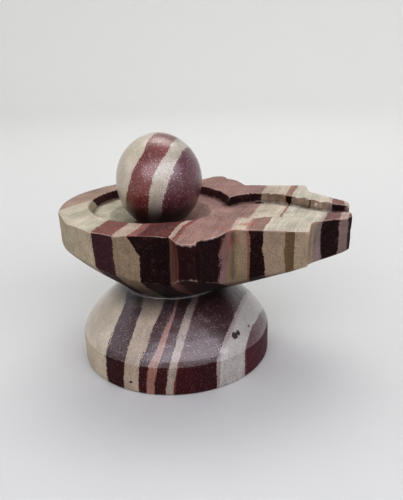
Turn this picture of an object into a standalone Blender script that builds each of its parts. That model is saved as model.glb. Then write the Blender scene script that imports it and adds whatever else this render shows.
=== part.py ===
"""Shiva lingam: a polished stone egg resting in a one-piece carved stone base.

The base (yoni) is a round foot, a pinched waist and a shallow round dish with
a spout. The dish is hollowed to a flat basin, a bowl in its middle seats the
lingam, and a leaf-shaped channel runs from the basin out through the spout.

Frame: +Z up, +X along the spout, origin at the middle of the foot's underside.
Lengths are metres.
"""
import math

import bmesh
import bpy
from mathutils import Vector

MM = 0.001

# Foot, waist and dish
FOOT_RADIUS = 34.3 * MM
FOOT_BAND = 10.4 * MM         # height of the upright band around the foot
FOOT_BEVEL = 0.8 * MM
WAIST_RADIUS = 18.6 * MM
WAIST_HEIGHT = 28.5 * MM
RIM_HEIGHT = 56.2 * MM        # top of the dish above the ground
DISH_RADIUS = 36.0 * MM
DISH_SET_BACK = 2.9 * MM      # the dish's centre lies behind the foot's
DISH_EDGE = 10.6 * MM         # height of the dish's outer wall at the back
RIM_BEVEL = 0.5 * MM
WALL_LEAN = 0.4 * MM          # the outer wall draws in this much at its foot
UNDERSIDE_BULGE = 0.7 * MM    # the underside swells this much at its middle

# Hips, the square shoulders where dish and spout meet
HIP_PROUD = 5.0 * MM          # how far a hip stands out past the dish's side
HIP_BACK = 9.0 * MM           # where the hip leaves the dish, along the spout
HIP_LENGTH = 9.2 * MM
HIP_STEP = 3.6 * MM           # drop from the hip to the swept flank

# Spout
SPOUT_REACH = 64.2 * MM       # from the dish's centre to the tip
SPOUT_HALF_WIDTH = 27.4 * MM
SPOUT_FLARE = 1.0 * MM        # narrower by this much at the notch
NOTCH_TO_TIP = 37.0 * MM      # from the notch behind the wide part to the tip
NOSE_LENGTH = 14.0 * MM       # the stepped-in end of the spout
NOSE_ROOT_HALF_WIDTH = 17.0 * MM
NOSE_TIP_HALF_WIDTH = 9.6 * MM
NOSE_CORNER = 1.8 * MM
NOSE_FALL = 1.0 * MM          # the nose's top slopes down this much to the tip
NOSE_EDGE = 13.8 * MM         # height of the tip's end face in its middle

# Basin, seat and channel
RIM_WIDTH = 11.2 * MM
BASIN_DEPTH = 3.3 * MM
BASIN_DRAFT = 1.0 * MM
BASIN_SET_BACK = 1.6 * MM     # the basin is cut off the dish's centre: backwards,
BASIN_ASIDE = 2.2 * MM        # and towards +Y
CHANNEL_SIDE = 12.4 * MM      # thinnest stone between channel and spout side
CHANNEL_MOUTH_HALF = 7.7 * MM
CHANNEL_TIP_HALF = 3.8 * MM
CHANNEL_DEPTH = 3.6 * MM
CHANNEL_TIP_DEPTH = 2.4 * MM
CHANNEL_DRAFT = 0.5 * MM
SEAT_MARGIN = 2.7 * MM        # the seat's edge stands this far off the lingam
SEAT_DEPTH = 5.5 * MM

# Lingam
LINGAM_DIAMETER = 30.0 * MM
LINGAM_HEIGHT = 32.8 * MM
LINGAM_SET_BACK = 0.9 * MM    # behind the dish's centre
REST_CLEARANCE = 0.3 * MM     # between the lingam and its seat

# Mesh fineness
STATION_ANGLE = math.radians(4.0)
DOME_STEPS = 7
UNDERSIDE_STEPS = 6
CURVE_STEPS = 7
CHANNEL_STEPS = 12
BASIN_SIDES = 72
SEAT_RINGS = 7
LINGAM_SIDES = 48
LINGAM_RINGS = 25
CUT_ABOVE = 2.0 * MM          # cutters reach this far past the stone

# Heights and places that follow from the sizes above
DISH_X = -DISH_SET_BACK
BASIN_RADIUS = DISH_RADIUS - RIM_WIDTH
BASIN_FLOOR = RIM_HEIGHT - BASIN_DEPTH
LINGAM_RADIUS = LINGAM_DIAMETER / 2
SEAT_RADIUS = LINGAM_RADIUS + SEAT_MARGIN
SEAT_BOTTOM = BASIN_FLOOR - SEAT_DEPTH
LINGAM_X = DISH_X - LINGAM_SET_BACK
LINGAM_BOTTOM = SEAT_BOTTOM + REST_CLEARANCE
NOTCH_X = SPOUT_REACH - NOTCH_TO_TIP
SHOULDER_X = SPOUT_REACH - NOSE_LENGTH


def clear_scene():
    for old in list(bpy.data.objects):
        bpy.data.objects.remove(old, do_unlink=True)


def bezier(p0, p1, p2, p3, steps):
    """Points after p0 up to p3 on one cubic curve."""
    points = []
    for i in range(1, steps + 1):
        t = i / steps
        s = 1.0 - t
        points.append(p0 * s ** 3 + p1 * (3 * s * s * t) + p2 * (3 * s * t * t) + p3 * t ** 3)
    return points


def half_plan():
    """The dish and spout's +Y half from the tip to the back, about the dish's centre."""
    hip_front = HIP_BACK + HIP_LENGTH
    hip_half = DISH_RADIUS + HIP_PROUD
    notch_half = SPOUT_HALF_WIDTH - SPOUT_FLARE
    root_run = 0.18 * (SPOUT_HALF_WIDTH - NOSE_ROOT_HALF_WIDTH)
    corner = NOSE_CORNER
    plan = [
        Vector((SPOUT_REACH, 0.0)),
        Vector((SPOUT_REACH, NOSE_TIP_HALF_WIDTH - corner)),
        Vector((SPOUT_REACH - corner, NOSE_TIP_HALF_WIDTH + 0.5 * corner)),
        Vector((SHOULDER_X + root_run, NOSE_ROOT_HALF_WIDTH)),
        Vector((SHOULDER_X + 0.3 * root_run, NOSE_ROOT_HALF_WIDTH + 1.4 * root_run)),
        Vector((SHOULDER_X, SPOUT_HALF_WIDTH - 0.4 * corner)),
        Vector((SHOULDER_X - 0.4 * corner, SPOUT_HALF_WIDTH)),
        Vector((NOTCH_X + 1.5 * corner, notch_half + 0.2 * corner)),
    ]
    notch = Vector((NOTCH_X, notch_half))
    flank_end = Vector((hip_front + 0.2 * corner, hip_half - HIP_STEP))
    sweep_in = notch + Vector((-0.18, 0.30)) * (flank_end - notch).length
    sweep_out = flank_end + Vector((0.42, -0.20)) * (flank_end - notch).length
    plan.append(notch)
    plan += bezier(notch, sweep_in, sweep_out, flank_end, CURVE_STEPS)
    plan += [
        Vector((hip_front, hip_half - 0.7 * corner)),
        Vector((hip_front - 0.8 * corner, hip_half)),
        Vector((hip_front - 2.2 * corner, hip_half)),
        Vector((hip_front - 3.3 * corner, hip_half - 0.6 * corner)),
    ]
    start = math.acos(HIP_BACK / DISH_RADIUS)
    steps = math.ceil((math.pi - start) / STATION_ANGLE)
    for i in range(steps + 1):
        angle = start + (math.pi - start) * i / steps
        plan.append(Vector((math.cos(angle), math.sin(angle))) * DISH_RADIUS)
    return plan


def stations():
    """The whole plan, anticlockwise from the tip, with no polar gap over one station."""
    upper = half_plan()
    lower = [Vector((p.x, -p.y)) for p in reversed(upper[1:-1])]
    corners = upper + lower
    plan = []
    for here, there in zip(corners, corners[1:] + corners[:1]):
        turn = abs(here.angle_signed(there))
        pieces = max(1, math.ceil(turn / STATION_ANGLE - 0.01))
        for i in range(pieces):
            plan.append(here.lerp(there, i / pieces))
    return plan


def underside_height(point):
    """Height of the outer wall's foot: the underside climbs from keel to back."""
    keel = (RIM_HEIGHT - NOSE_EDGE - WAIST_HEIGHT) / (SPOUT_REACH - WAIST_RADIUS)
    back = (RIM_HEIGHT - DISH_EDGE - WAIST_HEIGHT) / (DISH_RADIUS - WAIST_RADIUS)
    full_turn = math.radians(125.0)
    turn = min(1.0, abs(math.atan2(point.y, point.x)) / full_turn)
    slope = keel + (back - keel) * turn ** 1.2
    return WAIST_HEIGHT + slope * (point.length - WAIST_RADIUS)


def dome_profile():
    """Radius and height from the band's top edge up to the waist, convex all the way."""
    edge = Vector((FOOT_RADIUS, FOOT_BAND))
    waist = Vector((WAIST_RADIUS + 0.4 * MM, WAIST_HEIGHT - 0.4 * MM))
    run = (waist - edge).length
    lean_edge = math.radians(15.0)
    lean_waist = math.radians(46.0)
    rise = edge + Vector((-math.sin(lean_edge), math.cos(lean_edge))) * 0.21 * run
    fall = waist - Vector((-math.sin(lean_waist), math.cos(lean_waist))) * 0.38 * run
    return bezier(edge, rise, fall, waist, DOME_STEPS)


def base_rings():
    """Closed rings of points from the foot's underside to the rim, one per station."""
    plan = stations()
    headings = [p.normalized() for p in plan]

    def turned(radius, height):
        return [Vector((d.x * radius, d.y * radius, height)) for d in headings]

    rings = [
        turned(FOOT_RADIUS - FOOT_BEVEL, 0.0),
        turned(FOOT_RADIUS, FOOT_BEVEL),
        turned(FOOT_RADIUS, FOOT_BAND),
    ]
    rings += [turned(p.x, p.y) for p in dome_profile()]
    waist = turned(WAIST_RADIUS, WAIST_HEIGHT)
    rings.append(waist)
    wall_foot = []
    for p, d in zip(plan, headings):
        inner = p - d * WALL_LEAN
        wall_foot.append(Vector((DISH_X + inner.x, inner.y, underside_height(p))))
    for i in range(1, UNDERSIDE_STEPS + 1):
        share = i / UNDERSIDE_STEPS
        swell = UNDERSIDE_BULGE * math.sin(math.pi * share ** 1.5)
        drop = Vector((0.0, 0.0, -swell))
        rings.append([low.lerp(high, share) + drop for low, high in zip(waist, wall_foot)])
    rings.append([Vector((DISH_X + p.x, p.y, RIM_HEIGHT - RIM_BEVEL)) for p in plan])
    inset = [p - d * RIM_BEVEL for p, d in zip(plan, headings)]
    rings.append([Vector((DISH_X + p.x, p.y, RIM_HEIGHT)) for p in inset])
    return rings


def skin(name, rings):
    """One closed mesh object over rings of equal length, capped at both ends."""
    mesh = bpy.data.meshes.new(name)
    bm = bmesh.new()
    rows = [[bm.verts.new(p) for p in ring] for ring in rings]
    count = len(rings[0])
    for low, high in zip(rows, rows[1:]):
        for i in range(count):
            j = (i + 1) % count
            bm.faces.new((low[i], low[j], high[j], high[i]))
    bm.faces.new(list(reversed(rows[0])))
    bm.faces.new(rows[-1])
    bm.to_mesh(mesh)
    bm.free()
    obj = bpy.data.objects.new(name, mesh)
    bpy.context.collection.objects.link(obj)
    return obj


def circle(x, y, z, radius, sides):
    """Points of one level circle."""
    turn = 2 * math.pi / sides
    return [Vector((x + radius * math.cos(i * turn), y + radius * math.sin(i * turn), z))
            for i in range(sides)]


def as_cutter(obj, target):
    """Take obj's shape out of target and keep obj out of the model."""
    obj.hide_render = True
    obj.display_type = "WIRE"
    cut = target.modifiers.new(obj.name, "BOOLEAN")
    cut.operation = "DIFFERENCE"
    cut.solver = "EXACT"
    cut.object = obj


def basin_cutter():
    """Flat-floored round basin whose wall draws in towards the floor."""
    x = DISH_X - BASIN_SET_BACK
    above = BASIN_DRAFT * CUT_ABOVE / BASIN_DEPTH
    floor = circle(x, BASIN_ASIDE, BASIN_FLOOR, BASIN_RADIUS - BASIN_DRAFT, BASIN_SIDES)
    mouth = circle(x, BASIN_ASIDE, RIM_HEIGHT + CUT_ABOVE, BASIN_RADIUS + above, BASIN_SIDES)
    return skin("basin_cutter", [floor, mouth])


def seat_cutter():
    """Shallow spherical bowl, deepest under the lingam."""
    sphere = (SEAT_RADIUS ** 2 + SEAT_DEPTH ** 2) / (2 * SEAT_DEPTH)
    edge_angle = math.asin(SEAT_RADIUS / sphere)
    rings = []
    for i in range(1, SEAT_RINGS + 1):
        polar = edge_angle * i / SEAT_RINGS
        height = SEAT_BOTTOM + sphere * (1 - math.cos(polar))
        rings.append(circle(LINGAM_X, 0.0, height, sphere * math.sin(polar), BASIN_SIDES))
    rings.append(circle(LINGAM_X, 0.0, BASIN_FLOOR + CUT_ABOVE, SEAT_RADIUS, BASIN_SIDES))
    return skin("seat_cutter", rings)


def channel_side():
    """The channel's +Y edge at the rim's level, from inside the basin past the tip."""
    mouth_x = math.sqrt(BASIN_RADIUS ** 2 - CHANNEL_MOUTH_HALF ** 2) - BASIN_SET_BACK
    widest = SPOUT_HALF_WIDTH - CHANNEL_SIDE
    run = SPOUT_REACH - mouth_x
    mouth = Vector((mouth_x, CHANNEL_MOUTH_HALF))
    swell = mouth + Vector((0.12 * run, 1.3 * (widest - CHANNEL_MOUTH_HALF)))
    taper = Vector((mouth_x + 0.38 * run, 1.15 * widest))
    narrow = Vector((mouth_x + 0.72 * run, 1.7 * CHANNEL_TIP_HALF))
    side = [Vector((mouth_x - CHANNEL_MOUTH_HALF, CHANNEL_MOUTH_HALF)), mouth]
    side += bezier(mouth, swell, taper, narrow, CHANNEL_STEPS)
    side.append(Vector((SPOUT_REACH, CHANNEL_TIP_HALF)))
    side.append(Vector((SPOUT_REACH + CUT_ABOVE, CHANNEL_TIP_HALF)))
    return side


def channel_depth(share):
    """Depth below the rim's level, at a share of the way from the mouth to the tip."""
    deepest_at = 0.25
    tip_depth = CHANNEL_TIP_DEPTH + NOSE_FALL
    if share < deepest_at:
        return BASIN_DEPTH + (CHANNEL_DEPTH - BASIN_DEPTH) * max(0.0, share) / deepest_at
    return CHANNEL_DEPTH + (tip_depth - CHANNEL_DEPTH) * (share - deepest_at) / (1 - deepest_at)


def channel_cutter():
    """Leaf-shaped channel, widest just past the basin and open at the tip."""
    side = channel_side()
    mouth_x = side[1].x
    above = CHANNEL_DRAFT * CUT_ABOVE / CHANNEL_DEPTH
    rings = []
    for p in side:
        share = (p.x - mouth_x) / (SPOUT_REACH - mouth_x)
        x = DISH_X + p.x
        low = p.y - CHANNEL_DRAFT
        high = p.y + above
        floor = RIM_HEIGHT - channel_depth(share)
        top = RIM_HEIGHT + CUT_ABOVE
        rings.append([
            Vector((x, -low, floor)),
            Vector((x, low, floor)),
            Vector((x, high, top)),
            Vector((x, -high, top)),
        ])
    return skin("channel_cutter", rings)


def nose_cutter():
    """Wedge that lets the nose's top slope down to the tip."""
    start = DISH_X + SHOULDER_X
    reach = NOSE_LENGTH + CUT_ABOVE
    low = RIM_HEIGHT - NOSE_FALL * reach / NOSE_LENGTH
    top = RIM_HEIGHT + CUT_ABOVE
    outline = [(start, RIM_HEIGHT), (start + reach, low), (start + reach, top), (start, top)]
    half = SPOUT_HALF_WIDTH
    rings = [[Vector((x, y, z)) for x, z in outline] for y in (half, -half)]
    return skin("nose_cutter", rings)


def stone(name, colour, roughness):
    """Opaque stone material, colour given as linear RGB."""
    material = bpy.data.materials.new(name)
    material.use_nodes = True
    shader = material.node_tree.nodes["Principled BSDF"]
    shader.inputs["Base Color"].default_value = (*colour, 1.0)
    shader.inputs["Roughness"].default_value = roughness
    shader.inputs["Metallic"].default_value = 0.0
    return material


def shade_round(obj, crease):
    """Smooth shading, with edges sharper than crease degrees kept sharp."""
    obj.data.shade_smooth()
    obj.data.set_sharp_from_angle(angle=math.radians(crease))


def yoni_base():
    """Foot, waist, dish and spout, carved from one stone."""
    base = skin("yoni_base", base_rings())
    as_cutter(basin_cutter(), base)
    as_cutter(seat_cutter(), base)
    as_cutter(channel_cutter(), base)
    as_cutter(nose_cutter(), base)
    base.data.materials.append(stone("banded_sandstone", (0.24, 0.16, 0.15), 0.55))
    shade_round(base, 30)
    return base


def lingam():
    """Egg-shaped stone, a little taller than wide, standing in the seat."""
    half_height = LINGAM_HEIGHT / 2
    middle = LINGAM_BOTTOM + half_height
    rings = []
    for i in range(1, LINGAM_RINGS):
        polar = math.pi * i / LINGAM_RINGS
        height = middle - half_height * math.cos(polar)
        rings.append(circle(LINGAM_X, 0.0, height, LINGAM_RADIUS * math.sin(polar), LINGAM_SIDES))
    egg = skin("lingam", rings)
    egg.data.materials.append(stone("polished_banded_jasper", (0.22, 0.13, 0.13), 0.35))
    shade_round(egg, 30)
    return egg


clear_scene()
yoni_base()
lingam()
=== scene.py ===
"""Looks of a small banded-sandstone shiva lingam, in metres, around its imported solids.

The base keeps its carved form, and gets worn edges, hand-cut flats and its beds of
cream and maroon stone. The egg-shaped lingam is polished and sits in its seat.
"""

import math
from collections import namedtuple

import bmesh
import bpy
import numpy as np
from mathutils import Matrix, Vector


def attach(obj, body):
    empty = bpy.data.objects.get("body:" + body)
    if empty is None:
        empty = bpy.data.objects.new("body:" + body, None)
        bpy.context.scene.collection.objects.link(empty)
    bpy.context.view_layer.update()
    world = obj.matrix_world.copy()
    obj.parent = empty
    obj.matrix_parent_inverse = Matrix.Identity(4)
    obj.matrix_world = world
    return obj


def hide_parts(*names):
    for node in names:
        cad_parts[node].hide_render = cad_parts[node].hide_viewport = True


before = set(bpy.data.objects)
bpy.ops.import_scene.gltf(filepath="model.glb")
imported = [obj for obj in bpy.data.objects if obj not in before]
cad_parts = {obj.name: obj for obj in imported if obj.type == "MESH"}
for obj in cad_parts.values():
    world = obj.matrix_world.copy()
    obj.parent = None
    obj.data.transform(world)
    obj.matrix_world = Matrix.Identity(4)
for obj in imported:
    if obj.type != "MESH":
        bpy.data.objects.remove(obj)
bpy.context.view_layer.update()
MM = 0.001

# Camera, at the photograph's viewing angle
CAMERA_AZIMUTH = 9.17
CAMERA_ELEVATION = 20.79
CAMERA_ROLL = -1.65
CAMERA_DISTANCE = 205.65 * MM
CAMERA_TARGET = Vector((10.35, 0.0, 38.82)) * MM
FOCAL_IN_PIXELS = 575.2
IMAGE_LONG_SIDE = 500
SENSOR = 36.0

# Sizes of the base that its finish follows
DISH_X = -2.9 * MM
DISH_RADIUS = 36.0 * MM
RIM_HEIGHT = 56.2 * MM
BASIN_FLOOR = 52.9 * MM
SEAT_FLOOR = 47.4 * MM
WAIST_HEIGHT = 28.5 * MM
FOOT_BAND = 10.4 * MM
CHANNEL_START = 19 * MM

# Fineness of the stone meshes: spacing of the points, and triangles kept
BASE_VOXEL = 0.4 * MM
EGG_VOXEL = 0.3 * MM
MOST_TRIANGLES = 190000

# Finishes of the base, in the order of its materials: ground faces take the polished colours
# Sawn faces take colours darkened with painted shade, honed faces colours paled with painted
# light
POLISHED, SAWN_SHADED, HONED_LIT, GROUND = range(4)

# Iron nodules on the dome and the foot: centre and radius in mm
IRON_NODULES = ((24.0, -19.5, 15.8, 1.25), (25.0, -18.1, 16.0, 0.9), (28.1, -12.7, 16.0, 0.4),
                (-9.3, -32.9, 3.9, 0.45), (12.0, 30.5, 14.0, 1.1), (-26.0, 14.0, 18.5, 0.7))

# Patches of rust on the rim's near edge, and on its far side: places in mm
RUST_PATCHES = ((22.6, -26.4, 56.0), (28.6, -21.9, 56.0), (24.4, -27.6, 52.0),
                (-24.0, 27.0, 55.0))
RUST_REACH = 3.2 * MM
RUST = "#9C5A48"
IRON_STAIN = "#6C3F33"
IRON_NODULE = "#22090D"
# Darker colour for the creases, and painted shade at the waist under the dish
DARK_CREASES_AND_SHADE = "#1E1210"

# Sand grains in mm, drawn twice as coarse as they are, so that they show
SAND = 0.34

# Values between which a noise texture mostly stays
NOISE_LOW = 0.25
NOISE_HIGH = 0.75


# Camera

def place_camera():
    """Camera on its line of sight to the target, rolled a little as it was held."""
    azimuth, elevation, roll = (math.radians(a) for a in
                                (CAMERA_AZIMUTH, CAMERA_ELEVATION, CAMERA_ROLL))
    back = Vector((math.sin(azimuth) * math.cos(elevation),
                   -math.cos(azimuth) * math.cos(elevation), math.sin(elevation)))
    level = Vector((math.cos(azimuth), math.sin(azimuth), 0.0))
    above = back.cross(level)
    right = level * math.cos(roll) + above * math.sin(roll)
    up = above * math.cos(roll) - level * math.sin(roll)
    data = bpy.data.cameras.new("camera")
    data.sensor_width = SENSOR
    data.lens = SENSOR * FOCAL_IN_PIXELS / IMAGE_LONG_SIDE
    data.clip_start = 0.01
    data.clip_end = 50.0
    camera = bpy.data.objects.new("camera", data)
    bpy.context.collection.objects.link(camera)
    turn = Matrix((right, up, back)).transposed().to_4x4()
    spot = CAMERA_TARGET + back * CAMERA_DISTANCE
    camera.matrix_world = Matrix.Translation(spot) @ turn
    bpy.context.scene.camera = camera


# Tools for meshes

def dense_copy(node, name, voxel):
    """An even, closed, dense mesh of a CAD node's solid, as a new object."""
    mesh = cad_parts[node].data.copy()
    bm = bmesh.new()
    bm.from_mesh(mesh)
    bmesh.ops.remove_doubles(bm, verts=bm.verts, dist=1e-6)
    bm.to_mesh(mesh)
    bm.free()
    rough = bpy.data.objects.new(name + "_rough", mesh)
    bpy.context.collection.objects.link(rough)
    even = rough.modifiers.new("even", "REMESH")
    even.mode = "VOXEL"
    even.voxel_size = voxel
    graph = bpy.context.evaluated_depsgraph_get()
    dense = bpy.data.meshes.new_from_object(rough.evaluated_get(graph))
    bpy.data.objects.remove(rough)
    dense.name = name
    dense.materials.clear()
    piece = bpy.data.objects.new(name, dense)
    bpy.context.collection.objects.link(piece)
    return piece


def thin_out(piece):
    """Drop the points that flat stretches can spare, down to the most triangles kept."""
    count = sum(len(p.vertices) - 2 for p in piece.data.polygons)
    spare = piece.modifiers.new("spare", "DECIMATE")
    spare.ratio = min(1.0, MOST_TRIANGLES / count)
    graph = bpy.context.evaluated_depsgraph_get()
    thinned = bpy.data.meshes.new_from_object(piece.evaluated_get(graph))
    piece.modifiers.remove(spare)
    piece.data = thinned


def read_points(mesh):
    """The mesh's points, one row each."""
    flat = np.empty(len(mesh.vertices) * 3)
    mesh.vertices.foreach_get("co", flat)
    return flat.reshape(-1, 3)


def write_points(mesh, points):
    """Put the points back on the mesh."""
    mesh.vertices.foreach_set("co", points.ravel())
    mesh.update()


def read_normals(mesh):
    """The outward direction at each point."""
    flat = np.empty(len(mesh.vertices) * 3, np.float32)
    mesh.vertex_normals.foreach_get("vector", flat)
    return flat.reshape(-1, 3).astype(float)


def read_edges(mesh):
    """Pairs of neighbouring points."""
    flat = np.empty(len(mesh.edges) * 2, np.int32)
    mesh.edges.foreach_get("vertices", flat)
    return flat.reshape(-1, 2)


def relaxed(values, edges, rounds):
    """Points, or one number a point, drawn halfway to their neighbours, many times."""
    count = len(values)
    near = np.bincount(edges.ravel(), minlength=count)
    columns = values.reshape(count, -1).copy()
    for _ in range(rounds):
        for k in range(columns.shape[1]):
            column = columns[:, k]
            total = np.bincount(edges[:, 0], column[edges[:, 1]], count)
            total += np.bincount(edges[:, 1], column[edges[:, 0]], count)
            columns[:, k] = 0.5 * column + 0.5 * total / near
    return columns.reshape(values.shape)


# Shortest and longest wave of a swell, for a wavelength of one, and its highest peaks
WAVE_SPREAD = (0.7, 1.5)
WAVE_PEAK = 1.6
# Waves that make up a swell
SWELL_WAVES = 14


def swell(points, wavelength, seed, waves=SWELL_WAVES):
    """Smooth random field, mostly between -1 and 1, from waves in random directions."""
    rng = np.random.default_rng(seed)
    ways = rng.normal(size=(waves, 3))
    ways /= np.linalg.norm(ways, axis=1)[:, None]
    lengths = wavelength * rng.uniform(*WAVE_SPREAD, waves)
    phases = rng.uniform(0, 2 * math.pi, waves)
    total = np.zeros(len(points))
    for way, length, phase in zip(ways, lengths, phases):
        total += np.sin(points @ way * (2 * math.pi / length) + phase)
    return total / math.sqrt(waves / 2) / WAVE_PEAK


def swells(points, layers):
    """Sum of swells, each given by its height, wavelength, seed and number of waves."""
    return sum(high * swell(points, wavelength, seed, waves)
               for high, wavelength, seed, waves in layers)


def ease(values, low, high):
    """Smooth step from 0 at low to 1 at high."""
    t = np.clip((values - low) / (high - low), 0, 1)
    return t * t * (3 - 2 * t)


def store(mesh, name, values):
    """Keep one number a point on the mesh, for its material."""
    layer = mesh.attributes.new(name, "FLOAT", "POINT")
    layer.data.foreach_set("value", values.astype(np.float32))


# Beds of the stone, in millimetres

# Levels are the heights at which the beds' starts are given. Stones are the colours of each
# kind of stone by finish. First is the stone before the first bed, and each bed then has
# its stone and its start at each level.
Bedding = namedtuple("Bedding", "levels stones first beds")

# Width given to the outermost beds, and least width of the others where they are widest
OUTER_WIDTH = 10
LEAST_WIDTH = 1.0
# Width below which a bed has pinched out
PINCHED = 0.05


def spread(bedding):
    """Even places for the beds' lower sides: each bed as wide as it ever gets."""
    starts = np.array([bed[1:] for bed in bedding.beds], float)
    wide = np.maximum(np.diff(starts, axis=0).max(axis=1), LEAST_WIDTH)
    return np.concatenate([[0.0], np.cumsum(wide)])


def in_bed(dip, height, bedding):
    """Where each point lies in the run of beds, whose starts shift with height."""
    starts = [np.interp(height, bedding.levels, bed[1:]) for bed in bedding.beds]
    starts.append(starts[-1] + OUTER_WIDTH)
    widths = np.append(np.diff(spread(bedding)), OUTER_WIDTH)
    found = np.minimum(dip - starts[0], 0.0)
    for lower, upper, width in zip(starts, starts[1:], widths):
        found += width * np.clip((dip - lower) / np.maximum(upper - lower, PINCHED), 0, 1)
    return found


def lay_beds(mesh, dip, height, bedding):
    """Keep each point's place in the beds, and how far it is from the nearest seam."""
    place = in_bed(dip, height, bedding)
    store(mesh, "bed", place)
    seams = spread(bedding)
    store(mesh, "seam", np.abs(place[:, None] - seams[None, :]).min(axis=1))


# Base. Colours of its stones polished, sawn and honed: the sawn ones also darkened with painted
# shade, as walls in shade, and the honed ones paled with painted light, as lit tops
BASE_STONES = {
    "back maroon": ("#3A1D1E", "#2F1619", "#9B887B"),
    "cream": ("#AFA391", "#9B907D", "#B5AF9D"),
    "maroon": ("#351214", "#3C2328", "#7E5650"),
    "tan": ("#9B8D7E", "#7D6E5D", "#A59789"),
    "dark maroon": ("#3A171A", "#1D0808", "#865F5A"),
    "pink": ("#8C6B60", "#1D0808", "#865F5A"),
    "deep maroon": ("#3C181C", "#1D0808", "#5A3230"),
    "rusty tan": ("#8C8077", "#64493F", "#A6968A"),
    "brick red": ("#5A322D", "#5A302B", "#7B4A43"),
    "brown": ("#4A2024", "#56382F", "#7F5650"),
    "purple": ("#3B1619", "#270C0F", "#957A72"),
    "dark purple": ("#36151B", "#200A0F", "#8F756E"),
    "mauve grey": ("#8B7E7B", "#7D6662", "#B49F94"),
    "grey green": ("#9D9894", "#81725F", "#B5AB9B"),
    "rust": ("#5A3438", "#755549", "#9F8073"),
    "stripe": ("#4C2630", "#200A0A", "#8F7469"),
    "sand": ("#968876", "#877868", "#B8B3A4"),
    "olive": ("#968876", "#5E4E39", "#B6AFA0"),
    "pale sand": ("#968876", "#8D7E6D", "#B8B3A4"),
    "mauve sand": ("#968876", "#7A6D6A", "#AEA297"),
    "tip maroon": ("#3A1A20", "#1F0B0C", "#7B5E59"),
    "tip mauve": ("#7D6B6B", "#74645F", "#AB9A90"),
    "tip purple": ("#3A1A20", "#221014", "#6E4D49"),
}

# Heights at which its beds' starts are given: 56 is for the near half of the top, 62 for its
# far half, and 68 for the floors there
BASE_LEVELS = (5.0, 12.0, 25.0, 50.0, 55.4, 56.0, 62.0, 68.0)
FLOOR_LEVEL = BASE_LEVELS[-1]
FAR_LEVEL = BASE_LEVELS[-2]

BASE_BEDDING = Bedding(BASE_LEVELS, BASE_STONES, "back maroon", (
    ("cream", -36.5, -36.5, -36.0, -33.0, -31.9, -31.8, -31.8, -31.8),
    ("maroon", -14.4, -14.2, -12.6, -13.9, -14.4, -14.5, -14.5, -14.5),
    ("tan", -7.2, -6.2, -4.8, -6.4, -6.4, -6.4, -6.4, -6.4),
    ("dark maroon", -1.3, -0.6, 2.2, 1.6, -1.4, -1.7, -1.7, -1.7),
    ("pink", 1.9, 3.0, 6.7, 6.3, 1.0, 0.5, -1.6, -1.6),
    ("deep maroon", 5.1, 6.1, 7.9, 6.4, 1.1, 1.2, -1.5, -1.5),
    ("rusty tan", 8.6, 8.9, 10.6, 10.8, 10.8, 10.7, -1.4, -1.4),
    ("brick red", 11.4, 12.3, 13.7, 13.9, 13.0, 12.4, -1.3, -1.3),
    ("brown", 11.9, 12.5, 13.9, 14.8, 13.9, 12.9, -1.2, -1.2),
    ("purple", 12.1, 12.6, 14.0, 15.7, 15.0, 14.2, -1.1, -1.1),
    ("dark purple", 17.0, 17.5, 19.0, 21.2, 20.4, 20.0, 20.0, 20.0),
    ("mauve grey", 23.7, 23.7, 26.0, 25.0, 26.0, 26.5, 27.3, 27.3),
    ("grey green", 24.5, 24.8, 27.0, 26.6, 27.8, 28.0, 27.4, 27.4),
    ("rust", 30.8, 30.7, 32.9, 31.9, 31.4, 31.4, 36.0, 37.3),
    ("stripe", 30.9, 30.8, 33.0, 33.1, 32.8, 32.3, 36.2, 37.35),
    ("sand", 40.0, 40.0, 40.0, 36.7, 36.8, 36.8, 38.0, 37.7),
    ("olive", 46.0, 46.0, 46.0, 43.3, 43.1, 43.0, 45.5, 45.5),
    ("pale sand", 48.0, 48.0, 48.0, 45.9, 45.7, 45.6, 45.55, 45.55),
    ("mauve sand", 53.0, 53.0, 53.0, 50.2, 51.2, 51.6, 52.0, 52.0),
    ("tip maroon", 55.0, 55.0, 55.0, 52.3, 52.6, 52.6, 53.3, 53.3),
    ("tip mauve", 60.0, 60.0, 60.0, 57.5, 57.4, 57.3, 57.3, 57.3),
    ("tip purple", 62.0, 62.0, 62.0, 59.6, 59.8, 59.8, 59.8, 59.8),
))

# Lingam: the same, from its top down, with polished colours only
EGG_STONES = {
    "cream": ("#B1A794",),
    "brick red": ("#682A25",),
    "grey": ("#9D9588",),
    "purple": ("#542832",),
}
EGG_BEDDING = Bedding((57.0, 64.0, 70.0, 76.0, 80.0), EGG_STONES, "cream", (
    ("brick red", -29.8, -29.8, -29.5, -28.1, -29.0),
    ("grey", -21.0, -21.5, -21.8, -20.7, -21.4),
    ("purple", -16.5, -16.6, -16.8, -16.8, -17.5),
))

# How the beds turn from straight across, and how they lean, as slopes
BASE_TURN = 0.17
BASE_LEAN = 0.02
EGG_TURN = 0.117
EGG_LEAN = 0.308
# Fan of the base's beds: where it starts, how fast it opens, and how far it goes
FAN_START = -14.4
FAN_RATE = 0.0218
FAN_LIMITS = (0.45, 2.0)
# Between these the beds of the near half of the dish pass into those of its far half
FAR_HALF = (-16 * MM, -10 * MM)


def base_dip(points):
    """How far each point lies across the base's beds, which fan out at its front left."""
    x, y, z = (points / MM).T
    dip = x - BASE_TURN * y - BASE_LEAN * z
    beyond = np.minimum(dip - FAN_START, 0.0)
    closeness = np.clip(1 - FAN_RATE * y, *FAN_LIMITS)
    return dip - beyond + beyond / closeness


def base_level(points):
    """Height of each point, drawn up to the last two levels over the dish's far half."""
    y, z = points[:, 1], points[:, 2]
    far = ease(y, *FAR_HALF) * ease(z, WAIST_HEIGHT + 4 * MM, SEAT_FLOOR)
    rise = FAR_LEVEL - FLOOR_LEVEL
    level = FLOOR_LEVEL + rise * ease(z, BASIN_FLOOR, BASIN_FLOOR + 1 * MM)
    return z / MM + (level - z / MM) * far


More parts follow.
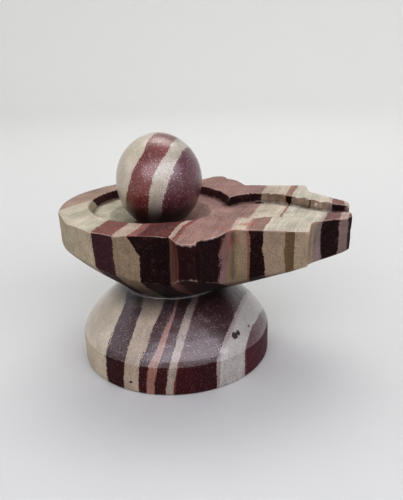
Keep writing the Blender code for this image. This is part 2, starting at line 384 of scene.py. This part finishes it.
def egg_dip(points):
    """How far each point lies across the lingam's slanting beds."""
    x, y, z = (points / MM).T
    return x - EGG_TURN * y - EGG_LEAN * z


# Base

# Flats left by the saw on the dish's wall: direction in degrees, and depth in mm
HAND_CUT_FLATS = ((-89.0, 0.8), (-110.0, 0.3), (-127.0, 0.5), (-149.0, 0.55), (-171.0, 0.4),
                  (96.0, 0.6), (121.0, 0.4), (147.0, 0.6), (170.0, 0.35))
# Heights at which the flats begin and are whole
FLATS_FROM = WAIST_HEIGHT + 8 * MM
FLATS_WHOLE = WAIST_HEIGHT + 14 * MM


def cut_flats(points):
    """Draw the round wall in to shallow flats, as a hand-held saw leaves it."""
    x = points[:, 0] - DISH_X
    y = points[:, 1]
    round_wall = np.hypot(x, y) < DISH_RADIUS + 0.3 * MM
    high = ease(points[:, 2], FLATS_FROM, FLATS_WHOLE)
    for direction, depth in HAND_CUT_FLATS:
        a = math.radians(direction)
        beyond = x * math.cos(a) + y * math.sin(a) - (DISH_RADIUS - depth * MM)
        cut = np.where(round_wall, np.maximum(beyond, 0.0), 0.0) * high
        x = x - cut * math.cos(a)
        y = y - cut * math.sin(a)
    points[:, 0] = x + DISH_X
    points[:, 1] = y


def facing_in(places, ways):
    """How squarely each place looks back at the dish's middle, times how far off it is."""
    return -(ways[:, 0] * (places[:, 0] - DISH_X) + ways[:, 1] * places[:, 1])


def tooled(points, outward):
    """How far the chisel's marks stand on the channel's walls, and faintly on the basin's."""
    walls = ease(facing_in(points, outward), 2 * MM, 6 * MM)
    walls = walls * ease(points[:, 2], BASIN_FLOOR - 1 * MM, BASIN_FLOOR)
    deep = 0.05 + 0.3 * ease(points[:, 0], CHANNEL_START, CHANNEL_START + 4 * MM)
    return walls * deep * MM * (swell(points, 4.5 * MM, 31) + 0.4 * swell(points, 1.8 * MM, 32))


# Dents and scores, in mm: from, to, how far it reaches, and how deep
SCORES = (((16.8, -12.6, 56.1), (21.3, -21.0, 56.1), 0.8, 0.25),
          ((13.4, -40.4, 50.4), (13.4, -40.4, 50.2), 1.3, 0.6),
          ((16.6, -36.5, 55.6), (16.4, -36.4, 42.0), 0.7, 0.3),
          ((18.3, -35.6, 54.5), (18.1, -35.3, 43.0), 0.6, 0.2),
          ((7.4, -36.6, 53.0), (6.9, -35.6, 40.0), 0.7, 0.2),
          ((60.9, -8.1, 48.3), (61.1, -7.6, 49.6), 1.3, 0.5),
          ((-20.0, 27.5, 56.1), (-25.5, 22.0, 56.1), 0.8, 0.2),
          ((-38.5, 6.0, 52.0), (-38.5, 7.0, 49.0), 1.0, 0.3))
# Share of a score's reach over which it is at its deepest
SCORE_FLOOR = 0.15


def scored(points):
    """How deep the dents and scores go at each point."""
    deep = np.zeros(len(points))
    for start, end, reach, depth in SCORES:
        a, b = np.array(start) * MM, np.array(end) * MM
        along = b - a
        share = np.clip((points - a) @ along / (along @ along), 0, 1)
        away = np.linalg.norm(points - a - share[:, None] * along, axis=1)
        deep += depth * MM * (1 - ease(away, SCORE_FLOOR * reach * MM, reach * MM))
    return deep


# Rounds of smoothing that take off the remesh's steps, and that blunt every edge
STEP_ROUNDS = 2
BLUNTING_ROUNDS = 14
# How far a point stands over the blunted form where an edge is at its sharpest
SHARP = 0.2 * MM
# How far the surfaces are drawn in, so that their unevenness stays within the solids
BASE_INSET = 0.12 * MM
EGG_INSET = 0.08 * MM
# The foot's underside stays flat up to the first height, and is uneven from the second
FLAT_UNDER = (0.4 * MM, 1.6 * MM)
# Share of the way to the blunted form: of every edge, added where it is chipped, of hollows
EDGE_WEAR = 0.06
CHIP_WEAR = 0.7
HOLLOW_WEAR = 0.1
# Unevenness that grinding by hand leaves: broad, middling and fine
BASE_HUMPS = ((0.08 * MM, 15 * MM, 5, SWELL_WAVES),
              (0.025 * MM, 5 * MM, 6, SWELL_WAVES),
              (0.01 * MM, 1.9 * MM, 7, 24))
# How far the beds' seams wander, in mm
BASE_WANDER = ((0.28, 18 * MM, 21, SWELL_WAVES), (0.08, 6 * MM, 22, SWELL_WAVES))


def edge_wear(points, bend):
    """Share of the way to the blunted form: little, but for a few chipped stretches."""
    chance = swell(points, 7 * MM, 3) + 0.7 * swell(points, 2.6 * MM, 4)
    wear = EDGE_WEAR + CHIP_WEAR * ease(chance, 0.9, 1.8)
    return np.where(bend > 0, wear, HOLLOW_WEAR)


def waist_shade(points):
    """How much painted shade darkens the waist, in the shade under the dish."""
    waist = ease(points[:, 2], WAIST_HEIGHT - 7 * MM, WAIST_HEIGHT + 1 * MM)
    waist *= 1 - ease(points[:, 2], WAIST_HEIGHT + 4 * MM, WAIST_HEIGHT + 15 * MM)
    return 0.9 * waist


def worn_base():
    """The carved base with softened edges, flats and a hand-finished surface."""
    piece = dense_copy("yoni_base", "carved_base", BASE_VOXEL)
    mesh = piece.data
    edges = read_edges(mesh)
    points = relaxed(read_points(mesh), edges, STEP_ROUNDS)
    cut_flats(points)
    blunt = relaxed(points, edges, BLUNTING_ROUNDS)
    write_points(mesh, points)
    outward = read_normals(mesh)
    bend = np.einsum("ij,ij->i", points - blunt, outward)
    points = points + (blunt - points) * edge_wear(points, bend)[:, None]
    hump = swells(points, BASE_HUMPS) + (tooled(points, outward) - scored(points))
    uneven = ease(points[:, 2], *FLAT_UNDER)
    points = points + outward * ((hump - BASE_INSET) * uneven)[:, None]
    write_points(mesh, points)
    store(mesh, "edge", np.clip(bend / SHARP, 0, 1))
    # Darker in the creases, and painted shade at the waist under the dish
    store(mesh, "dark_creases_and_shade", np.maximum(np.clip(-bend / SHARP, 0, 1), waist_shade(points)))
    thin_out(piece)

    mesh = piece.data
    points = read_points(mesh)
    dip = base_dip(points) + swells(points, BASE_WANDER)
    lay_beds(mesh, dip, base_level(points), BASE_BEDDING)
    mesh.shade_smooth()
    return piece


def face_rows(mesh, what):
    """The faces' centres or normals, one row each."""
    flat = np.empty(len(mesh.polygons) * 3)
    mesh.polygons.foreach_get(what, flat)
    return flat.reshape(-1, 3)


# Share of a face's normal that points up, above which the face isn't a wall
UPWARD = 0.6


def finish_faces(mesh):
    """Give each face its finish, by its height and the way it faces."""
    centres = face_rows(mesh, "center")
    ways = face_rows(mesh, "normal")
    height = centres[:, 2]
    wall = np.abs(ways[:, 2]) < UPWARD
    in_basin = (facing_in(centres, ways) > 3 * MM) & (centres[:, 0] < CHANNEL_START + 8 * MM)
    # Walls get the colours darkened with painted shade, tops those paled with painted light
    finish = np.full(len(height), SAWN_SHADED, np.int32)
    finish[height < WAIST_HEIGHT + 1 * MM] = POLISHED
    finish[(height > SEAT_FLOOR - 1 * MM) & (ways[:, 2] > UPWARD)] = HONED_LIT
    finish[(height < FOOT_BAND + 0.3 * MM) & wall] = GROUND
    finish[(height > SEAT_FLOOR) & in_basin & wall] = GROUND
    mesh.polygons.foreach_set("material_index", finish)


# Lingam

# Rounds of smoothing that take off the remesh's steps, and height of its foot darkened with
# painted shade
EGG_ROUNDS = 12
DARK_FOOT = 9 * MM
# Unevenness of its surface, and how far its seams wander in mm
EGG_HUMPS = ((0.06 * MM, 16 * MM, 11, SWELL_WAVES), (0.015 * MM, 5 * MM, 12, SWELL_WAVES))
EGG_WANDER = ((0.25, 14 * MM, 23, SWELL_WAVES), (0.08, 5 * MM, 24, SWELL_WAVES))


def polished_egg():
    """The lingam, ground by hand: an egg with the faintest unevenness."""
    piece = dense_copy("lingam", "polished_lingam", EGG_VOXEL)
    mesh = piece.data
    points = relaxed(read_points(mesh), read_edges(mesh), EGG_ROUNDS)
    write_points(mesh, points)
    outward = read_normals(mesh)
    points = points + outward * (swells(points, EGG_HUMPS) - EGG_INSET)[:, None]
    write_points(mesh, points)
    dip = egg_dip(points) + swells(points, EGG_WANDER)
    lay_beds(mesh, dip, points[:, 2] / MM, EGG_BEDDING)
    # Painted shade on the foot, where it sits down in its seat
    store(mesh, "dark_creases_and_shade", 1 - ease(points[:, 2], BASIN_FLOOR, BASIN_FLOOR + DARK_FOOT))
    mesh.shade_smooth()
    return piece


# Materials

def linear(hex_colour):
    """Linear RGBA of an sRGB hex colour."""
    out = []
    for i in (1, 3, 5):
        c = int(hex_colour[i:i + 2], 16) / 255
        out.append(c / 12.92 if c <= 0.04045 else ((c + 0.055) / 1.055) ** 2.4)
    return (*out, 1.0)


def add(tree, kind, inputs=(), stops=(), **settings):
    """Add a node with its settings, its values or links, and its ramp's stops."""
    made = tree.nodes.new("ShaderNode" + kind)
    for name, value in settings.items():
        setattr(made, name, value)
    for socket, value in dict(inputs).items():
        if isinstance(value, bpy.types.Node):
            value = next(out for out in value.outputs if out.enabled)
        if isinstance(value, bpy.types.NodeSocket):
            tree.links.new(value, made.inputs[socket])
        else:
            made.inputs[socket].default_value = value
    for k, (place, colour) in enumerate(stops):
        held = made.color_ramp.elements
        stop = held[k] if k < 2 else held.new(place)
        stop.position = place
        stop.color = colour
    return made


def per_mm(size):
    """Texture scale that makes a pattern's features this many millimetres across."""
    return 1 / (size * MM)


# Streaks along the beds: how many to a millimetre across them, and how long in mm
STREAKS_PER_MM = 1.2
STREAK_LENGTH = 15


def streak_pattern(tree, spot, bed):
    """Fine streaks that run along the beds, as the sand was laid down."""
    parts = add(tree, "SeparateXYZ", {"Vector": spot})
    deep = add(tree, "Math", {0: parts.outputs["Y"], 1: per_mm(STREAK_LENGTH)},
               operation="MULTIPLY")
    high = add(tree, "Math", {0: parts.outputs["Z"], 1: per_mm(STREAK_LENGTH)},
               operation="MULTIPLY")
    across = add(tree, "CombineXYZ", {"X": bed, "Y": deep, "Z": high})
    return add(tree, "TexNoise", {"Vector": across, "Scale": STREAKS_PER_MM,
                                  "Detail": 4.0, "Roughness": 0.6})


# How far a seam wavers, and how far it is ragged from grain to grain, in mm
SEAM_WAVER = 0.25
SEAM_RAGGED = 0.25


def bedded(name, bedding, finish, feather):
    """A stone begun: its tree, place, streaks, and the beds' plain colours.

    The seams are as ragged as the sand grains that they part, and feather into streaks
    by up to that many millimetres.
    """
    material = bpy.data.materials.new(name)
    material.use_nodes = True
    tree = material.node_tree
    tree.nodes.clear()
    spot = add(tree, "TexCoord").outputs["Object"]
    bed = add(tree, "Attribute", attribute_name="bed").outputs["Fac"]
    wave = add(tree, "TexNoise", {"Vector": spot, "Scale": per_mm(3), "Detail": 3.0})
    slow = add(tree, "MapRange", {"Value": wave, "From Min": 0.2, "From Max": 0.8,
                                  "To Min": -SEAM_WAVER, "To Max": SEAM_WAVER})
    cells = add(tree, "TexVoronoi", {"Vector": spot, "Scale": per_mm(SAND)})
    chance = add(tree, "SeparateColor", {"Color": cells.outputs["Color"]})
    fine = add(tree, "MapRange", {"Value": chance, "To Min": -SEAM_RAGGED,
                                  "To Max": SEAM_RAGGED})
    streak = streak_pattern(tree, spot, bed)
    drawn = add(tree, "MapRange", {"Value": streak, "From Min": NOISE_LOW,
                                   "From Max": NOISE_HIGH, "To Min": -feather,
                                   "To Max": feather})
    bent = bed
    for shift in (slow, fine, drawn):
        bent = add(tree, "Math", {0: bent, 1: shift}, operation="ADD")
    ramp = colour_ramp(tree, bent, bedding, finish)
    return material, tree, spot, streak, ramp


def colour_ramp(tree, bed, bedding, finish):
    """Each bed's colour in one finish, with no blending between them."""
    places = spread(bedding)
    low, high = places[0] - OUTER_WIDTH, places[-1] + OUTER_WIDTH
    share = add(tree, "MapRange", {"Value": bed, "From Min": low, "From Max": high})
    stops = [(0.0, linear(bedding.stones[bedding.first][finish]))]
    for place, (stone, *_) in zip(places, bedding.beds):
        stops.append(((place - low) / (high - low), linear(bedding.stones[stone][finish])))
    ramp = add(tree, "ValToRGB", {"Fac": share}, stops=stops)
    ramp.color_ramp.interpolation = "CONSTANT"
    return ramp


def toned(tree, spot, streak, colour, grains, clouds, streaks):
    """Sand grains, clouds, and streaks along the beds, as lighter and darker tones."""
    grain = add(tree, "TexNoise", {"Vector": spot, "Scale": per_mm(SAND), "Detail": 3.0,
                                   "Roughness": 0.8})
    cloud = add(tree, "TexNoise", {"Vector": spot, "Scale": per_mm(6), "Detail": 5.0,
                                   "Roughness": 0.65})
    tone = None
    for noise, strength in ((grain, grains), (cloud, clouds), (streak, streaks)):
        part = add(tree, "MapRange", {"Value": noise, "From Min": NOISE_LOW,
                                      "From Max": NOISE_HIGH, "To Min": 1 - strength,
                                      "To Max": 1 + strength})
        tone = part if tone is None else add(tree, "Math", {0: tone, 1: part},
                                             operation="MULTIPLY")
    return grain, add(tree, "HueSaturation", {"Color": colour, "Value": tone})


# How rare the bright specks are, and how big the brightest are, as a share of their spacing
SPECK_RARITY = 2.3
SPECK_SIZE = 0.38


def grains_and_painted_glints(tree, spot, colour, apart, strength, tint):
    """Pale specks of all strengths, few of them bright: quartz grains, and on polished faces
    painted glints.
    """
    cells = add(tree, "TexVoronoi", {"Vector": spot, "Scale": per_mm(apart)})
    chosen = add(tree, "SeparateColor", {"Color": cells.outputs["Color"]})
    few = add(tree, "Math", {0: chosen, 1: SPECK_RARITY}, operation="POWER")
    core = add(tree, "MapRange", {"Value": cells.outputs["Distance"], "From Min": 0.05,
                                  "From Max": SPECK_SIZE, "To Min": strength,
                                  "To Max": 0.0})
    amount = add(tree, "Math", {0: few, 1: core}, operation="MULTIPLY")
    return add(tree, "Mix", {"Factor": amount, "A": colour, "B": linear(tint)},
               data_type="RGBA")


def covered(tree, colour, layer, low, most, tint):
    """Colour with a tint over it where one of the piece's own layers is strong."""
    value = add(tree, "Attribute", attribute_name=layer).outputs["Fac"]
    amount = add(tree, "MapRange", {"Value": value, "From Min": low, "To Max": most})
    return add(tree, "Mix", {"Factor": amount, "A": colour, "B": linear(tint)},
               data_type="RGBA")


# How far a nodule's edge is ragged, and half the width over which it fades
NODULE_RAGGED = 0.5 * MM
NODULE_SOFT = 0.15


def spotted(tree, spot, colour):
    """The few dark iron nodules that the polishing has cut through."""
    wave = add(tree, "TexNoise", {"Vector": spot, "Scale": per_mm(0.9)})
    ragged = add(tree, "MapRange", {"Value": wave, "To Min": -NODULE_RAGGED,
                                    "To Max": NODULE_RAGGED})
    for x, y, z, radius in IRON_NODULES:
        far = add(tree, "VectorMath", {0: spot, 1: Vector((x, y, z)) * MM},
                  operation="DISTANCE").outputs["Value"]
        bent = add(tree, "Math", {0: far, 1: ragged}, operation="ADD")
        inside = add(tree, "MapRange", {"Value": bent,
                                        "From Min": (radius + NODULE_SOFT) * MM,
                                        "From Max": (radius - NODULE_SOFT) * MM})
        colour = add(tree, "Mix", {"Factor": inside, "A": colour, "B": linear(IRON_NODULE)},
                     data_type="RGBA")
    return colour


def iron_stained(tree, spot, colour, most):
    """Rust-brown stain in patches along the seams and under the rim, and orange rust."""
    patch = add(tree, "TexNoise", {"Vector": spot, "Scale": per_mm(3), "Detail": 3.0})
    here = add(tree, "MapRange", {"Value": patch, "From Min": 0.42, "From Max": 0.7,
                                  "To Max": most})
    seam = add(tree, "Attribute", attribute_name="seam").outputs["Fac"]
    close = add(tree, "MapRange", {"Value": seam, "From Min": 0.1, "From Max": 0.9,
                                   "To Min": 1.0, "To Max": 0.0})
    height = add(tree, "SeparateXYZ", {"Vector": spot}).outputs["Z"]
    under_rim = add(tree, "MapRange", {"Value": height, "From Min": RIM_HEIGHT - 4 * MM,
                                       "From Max": RIM_HEIGHT - 0.5 * MM, "To Max": 0.9})
    where = add(tree, "Math", {0: close, 1: under_rim}, operation="MAXIMUM")
    rust = add(tree, "Math", {0: where, 1: here}, operation="MULTIPLY")
    stained = add(tree, "Mix", {"Factor": rust, "A": colour, "B": linear(IRON_STAIN)},
                  data_type="RGBA")
    patchy = add(tree, "MapRange", {"Value": patch, "From Min": 0.38, "From Max": 0.62})
    for place in RUST_PATCHES:
        far = add(tree, "VectorMath", {0: spot, 1: Vector(place) * MM},
                  operation="DISTANCE").outputs["Value"]
        near = add(tree, "MapRange", {"Value": far, "From Min": 0.0, "From Max": RUST_REACH,
                                      "To Min": 0.9, "To Max": 0.0})
        share = add(tree, "Math", {0: near, 1: patchy}, operation="MULTIPLY")
        stained = add(tree, "Mix", {"Factor": share, "A": stained, "B": linear(RUST)},
                      data_type="RGBA")
    return stained


def surfaced(tree, grain, colour, rough, tooth, gloss, wax=0.0):
    """Close the material: a roughness that varies by grain, a tooth, and the shader."""
    dull = add(tree, "MapRange", {"Value": grain, "From Min": NOISE_LOW,
                                  "From Max": NOISE_HIGH, "To Min": rough - 0.06,
                                  "To Max": rough + 0.06})
    bump = add(tree, "Bump", {"Height": grain, "Strength": tooth, "Distance": 0.06 * MM})
    shader = add(tree, "BsdfPrincipled", {"Base Color": colour, "Roughness": dull,
                                          "Normal": bump, "IOR": 1.54,
                                          "Specular IOR Level": gloss,
                                          "Coat Weight": wax, "Coat Roughness": 0.3,
                                          "Coat IOR": 1.6,
                                          "Coat Normal": bump})
    add(tree, "OutputMaterial", {"Surface": shader})


def sawn_sandstone_painted_shade():
    """Wall and flaring underside, sawn and rubbed: dark, matte, with grains that just show, and
    darker still with painted shade.
    """
    material, tree, spot, streak, plain = bedded("sawn_sandstone_painted_shade", BASE_BEDDING, SAWN_SHADED,
                                                 feather=0.3)
    stained = iron_stained(tree, spot, plain, most=0.2)
    grain, varied = toned(tree, spot, streak, stained, grains=0.5, clouds=0.2, streaks=0.12)
    specked = grains_and_painted_glints(tree, spot, varied, apart=0.5, strength=0.3, tint="#A8988F")
    worn = covered(tree, specked, "edge", low=0.6, most=0.6, tint="#A8958A")
    # Darker in the creases, and painted shade under the dish near the waist
    crease_and_shade_darkened = covered(tree, worn, "dark_creases_and_shade", low=0.0, most=0.7, tint=DARK_CREASES_AND_SHADE)
    surfaced(tree, grain, crease_and_shade_darkened, rough=0.58, tooth=0.3, gloss=0.15)
    return material


def honed_sandstone_painted_light():
    """Top and floors, rubbed flat with grit: matte, dusty and paler than a sawn face, partly by
    painted light.
    """
    material, tree, spot, streak, plain = bedded("honed_sandstone_painted_light", BASE_BEDDING, HONED_LIT,
                                                 feather=0.4)
    stained = iron_stained(tree, spot, plain, most=0.3)
    grain, varied = toned(tree, spot, streak, stained, grains=0.6, clouds=0.3, streaks=0.2)
    specked = grains_and_painted_glints(tree, spot, varied, apart=0.5, strength=0.85, tint="#D2C5BA")
    worn = covered(tree, specked, "edge", low=0.7, most=0.4, tint="#B9AA9C")
    # Darker in the creases
    crease_and_shade_darkened = covered(tree, worn, "dark_creases_and_shade", low=0.0, most=0.7, tint=DARK_CREASES_AND_SHADE)
    surfaced(tree, grain, crease_and_shade_darkened, rough=0.75, tooth=0.4, gloss=0.3)
    return material


def ground_sandstone():
    """Foot's band and basin's wall, ground but not waxed: smooth, warm and dull."""
    material, tree, spot, streak, plain = bedded("ground_sandstone", BASE_BEDDING, POLISHED,
                                                 feather=0.3)
    stained = iron_stained(tree, spot, plain, most=0.3)
    grain, varied = toned(tree, spot, streak, stained, grains=0.6, clouds=0.18, streaks=0.1)
    specked = grains_and_painted_glints(tree, spot, varied, apart=0.5, strength=0.4, tint="#C0B2AC")
    dotted = spotted(tree, spot, specked)
    # Darker in the creases
    crease_and_shade_darkened = covered(tree, dotted, "dark_creases_and_shade", low=0.0, most=0.35, tint=DARK_CREASES_AND_SHADE)
    surfaced(tree, grain, crease_and_shade_darkened, rough=0.5, tooth=0.2, gloss=0.2)
    return material


def polished_sandstone():
    """Dome and foot's underside, polished and waxed: deep colours, a soft sheen, glints painted
    as pale specks.
    """
    material, tree, spot, streak, plain = bedded("polished_sandstone", BASE_BEDDING, POLISHED,
                                                 feather=0.9)
    grain, varied = toned(tree, spot, streak, plain, grains=0.5, clouds=0.2, streaks=0.05)
    # Pale specks: quartz grains with painted glints
    specked = grains_and_painted_glints(tree, spot, varied, apart=0.45, strength=0.9, tint="#D8D2D6")
    dotted = spotted(tree, spot, specked)
    # Painted shade, near black, under the dish near the waist, and darker creases
    crease_and_shade_darkened = covered(tree, dotted, "dark_creases_and_shade", low=0.0, most=1.0, tint="#120A0B")
    surfaced(tree, grain, crease_and_shade_darkened, rough=0.34, tooth=0.15, gloss=0.5, wax=1.0)
    return material


def polished_lingam_stone():
    """The lingam, polished and waxed by hand: the same sheen, quartz glints painted as pale
    specks, and painted shade on its foot in the seat.
    """
    material, tree, spot, streak, plain = bedded("polished_lingam_stone", EGG_BEDDING,
                                                 POLISHED, feather=0.3)
    grain, varied = toned(tree, spot, streak, plain, grains=0.45, clouds=0.2, streaks=0.05)
    # Pale specks: quartz grains with painted glints
    specked = grains_and_painted_glints(tree, spot, varied, apart=0.42, strength=1.4, tint="#E0D6D6")
    # Painted shade, near black, on the foot where it sits in its seat
    foot_shaded = covered(tree, specked, "dark_creases_and_shade", low=0.0, most=1.0, tint="#1A0C0C")
    surfaced(tree, grain, foot_shaded, rough=0.36, tooth=0.15, gloss=0.5, wax=1.0)
    return material


# Studio

# Floor: radius of its flat part, radius of its upward sweep, height of its wall, in metres,
# and how many steps there are up the sweep and around
COVE_FLAT = 0.7
COVE_CURVE = 0.55
COVE_WALL = 1.1
SWEEP_STEPS = 12
ROUND_STEPS = 96


def cove_profile():
    """The floor's outline from its middle to the top of its wall: radius and height."""
    profile = [(0.0, 0.0), (COVE_FLAT, 0.0)]
    for k in range(1, SWEEP_STEPS + 1):
        a = math.radians(90 * k / SWEEP_STEPS)
        profile.append((COVE_FLAT + COVE_CURVE * math.sin(a), COVE_CURVE * (1 - math.cos(a))))
    profile.append((COVE_FLAT + COVE_CURVE, COVE_WALL))
    return profile


def floor_paint():
    """Pale matte paint."""
    paint = bpy.data.materials.new("floor_paint")
    paint.use_nodes = True
    shader = paint.node_tree.nodes["Principled BSDF"]
    shader.inputs["Base Color"].default_value = linear("#C8C8C6")
    shader.inputs["Roughness"].default_value = 0.85
    return paint


def pale_floor():
    """A round pale floor whose edge sweeps up, so that no horizon shows."""
    bm = bmesh.new()
    verts = [bm.verts.new((r, 0.0, z)) for r, z in cove_profile()]
    lines = [bm.edges.new(pair) for pair in zip(verts, verts[1:])]
    bmesh.ops.spin(bm, geom=verts + lines, cent=(0, 0, 0), axis=(0, 0, 1),
                   angle=2 * math.pi, steps=ROUND_STEPS)
    bmesh.ops.remove_doubles(bm, verts=bm.verts, dist=1e-5)
    bmesh.ops.recalc_face_normals(bm, faces=bm.faces)
    mesh = bpy.data.meshes.new("floor")
    bm.to_mesh(mesh)
    bm.free()
    mesh.shade_smooth()
    mesh.materials.append(floor_paint())
    floor = bpy.data.objects.new("floor", mesh)
    bpy.context.collection.objects.link(floor)


# Lights: direction in degrees round from the front and up, distance, width and height in
# metres, brightness, tint, and what each is aimed at
LIGHTS = (
    ("window", 20.0, 36.0, 0.9, 1.9, 0.62, 2.35, "#F4F3FC", CAMERA_TARGET),
    ("side_window", -78.0, 26.0, 0.9, 0.6, 0.5, 0.72, "#F4F3FC", CAMERA_TARGET),
    ("skylight", 178.0, 65.0, 0.9, 0.6, 0.5, 2.0, "#FAF9F6", CAMERA_TARGET),
    ("backdrop_light", 0.0, 40.0, 1.0, 1.4, 0.5, 1.9, "#FAF9F8", Vector((0.1, 1.2, 0.25))),
)
# Brightness of the room below and at the horizon, and overhead
ROOM_GLOW = (0.13, 0.42)


def soft_light(name, azimuth, elevation, distance, width, height, brightness, tint, aim):
    """A soft rectangle of light aimed at a point, as bright as that times white."""
    a, e = math.radians(azimuth), math.radians(elevation)
    way = Vector((math.sin(a) * math.cos(e), -math.cos(a) * math.cos(e), math.sin(e)))
    data = bpy.data.lights.new(name, "AREA")
    data.shape = "RECTANGLE"
    data.size = width
    data.size_y = height
    data.energy = brightness * math.pi * width * height
    data.color = linear(tint)[:3]
    light = bpy.data.objects.new(name, data)
    bpy.context.collection.objects.link(light)
    light.location = aim + way * distance
    light.rotation_mode = "QUATERNION"
    light.rotation_quaternion = way.to_track_quat("Z", "Y")


def room_glow():
    """A room that is pale overhead and dim at its sides."""
    world = bpy.data.worlds.new("studio")
    world.use_nodes = True
    tree = world.node_tree
    way = add(tree, "TexCoord").outputs["Generated"]
    upward = add(tree, "SeparateXYZ", {"Vector": way}).outputs["Z"]
    low, high = ROOM_GLOW
    glow = add(tree, "MapRange", {"Value": upward, "To Min": low, "To Max": high})
    background = tree.nodes["Background"]
    background.inputs["Color"].default_value = linear("#F0F2F5")
    tree.links.new(glow.outputs["Result"], background.inputs["Strength"])
    bpy.context.scene.world = world


def light_studio():
    """The room's glow, the lights, and the contrast of the picture."""
    room_glow()
    for light in LIGHTS:
        soft_light(*light)
    bpy.context.scene.view_settings.view_transform = "Standard"
    bpy.context.scene.view_settings.look = "High Contrast"


place_camera()
base = worn_base()
for stone in (polished_sandstone, sawn_sandstone_painted_shade, honed_sandstone_painted_light, ground_sandstone):
    base.data.materials.append(stone())
finish_faces(base.data)
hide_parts("yoni_base")
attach(base, "root")

egg = polished_egg()
egg.data.materials.append(polished_lingam_stone())
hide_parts("lingam")
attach(egg, "root")

pale_floor()
light_studio()
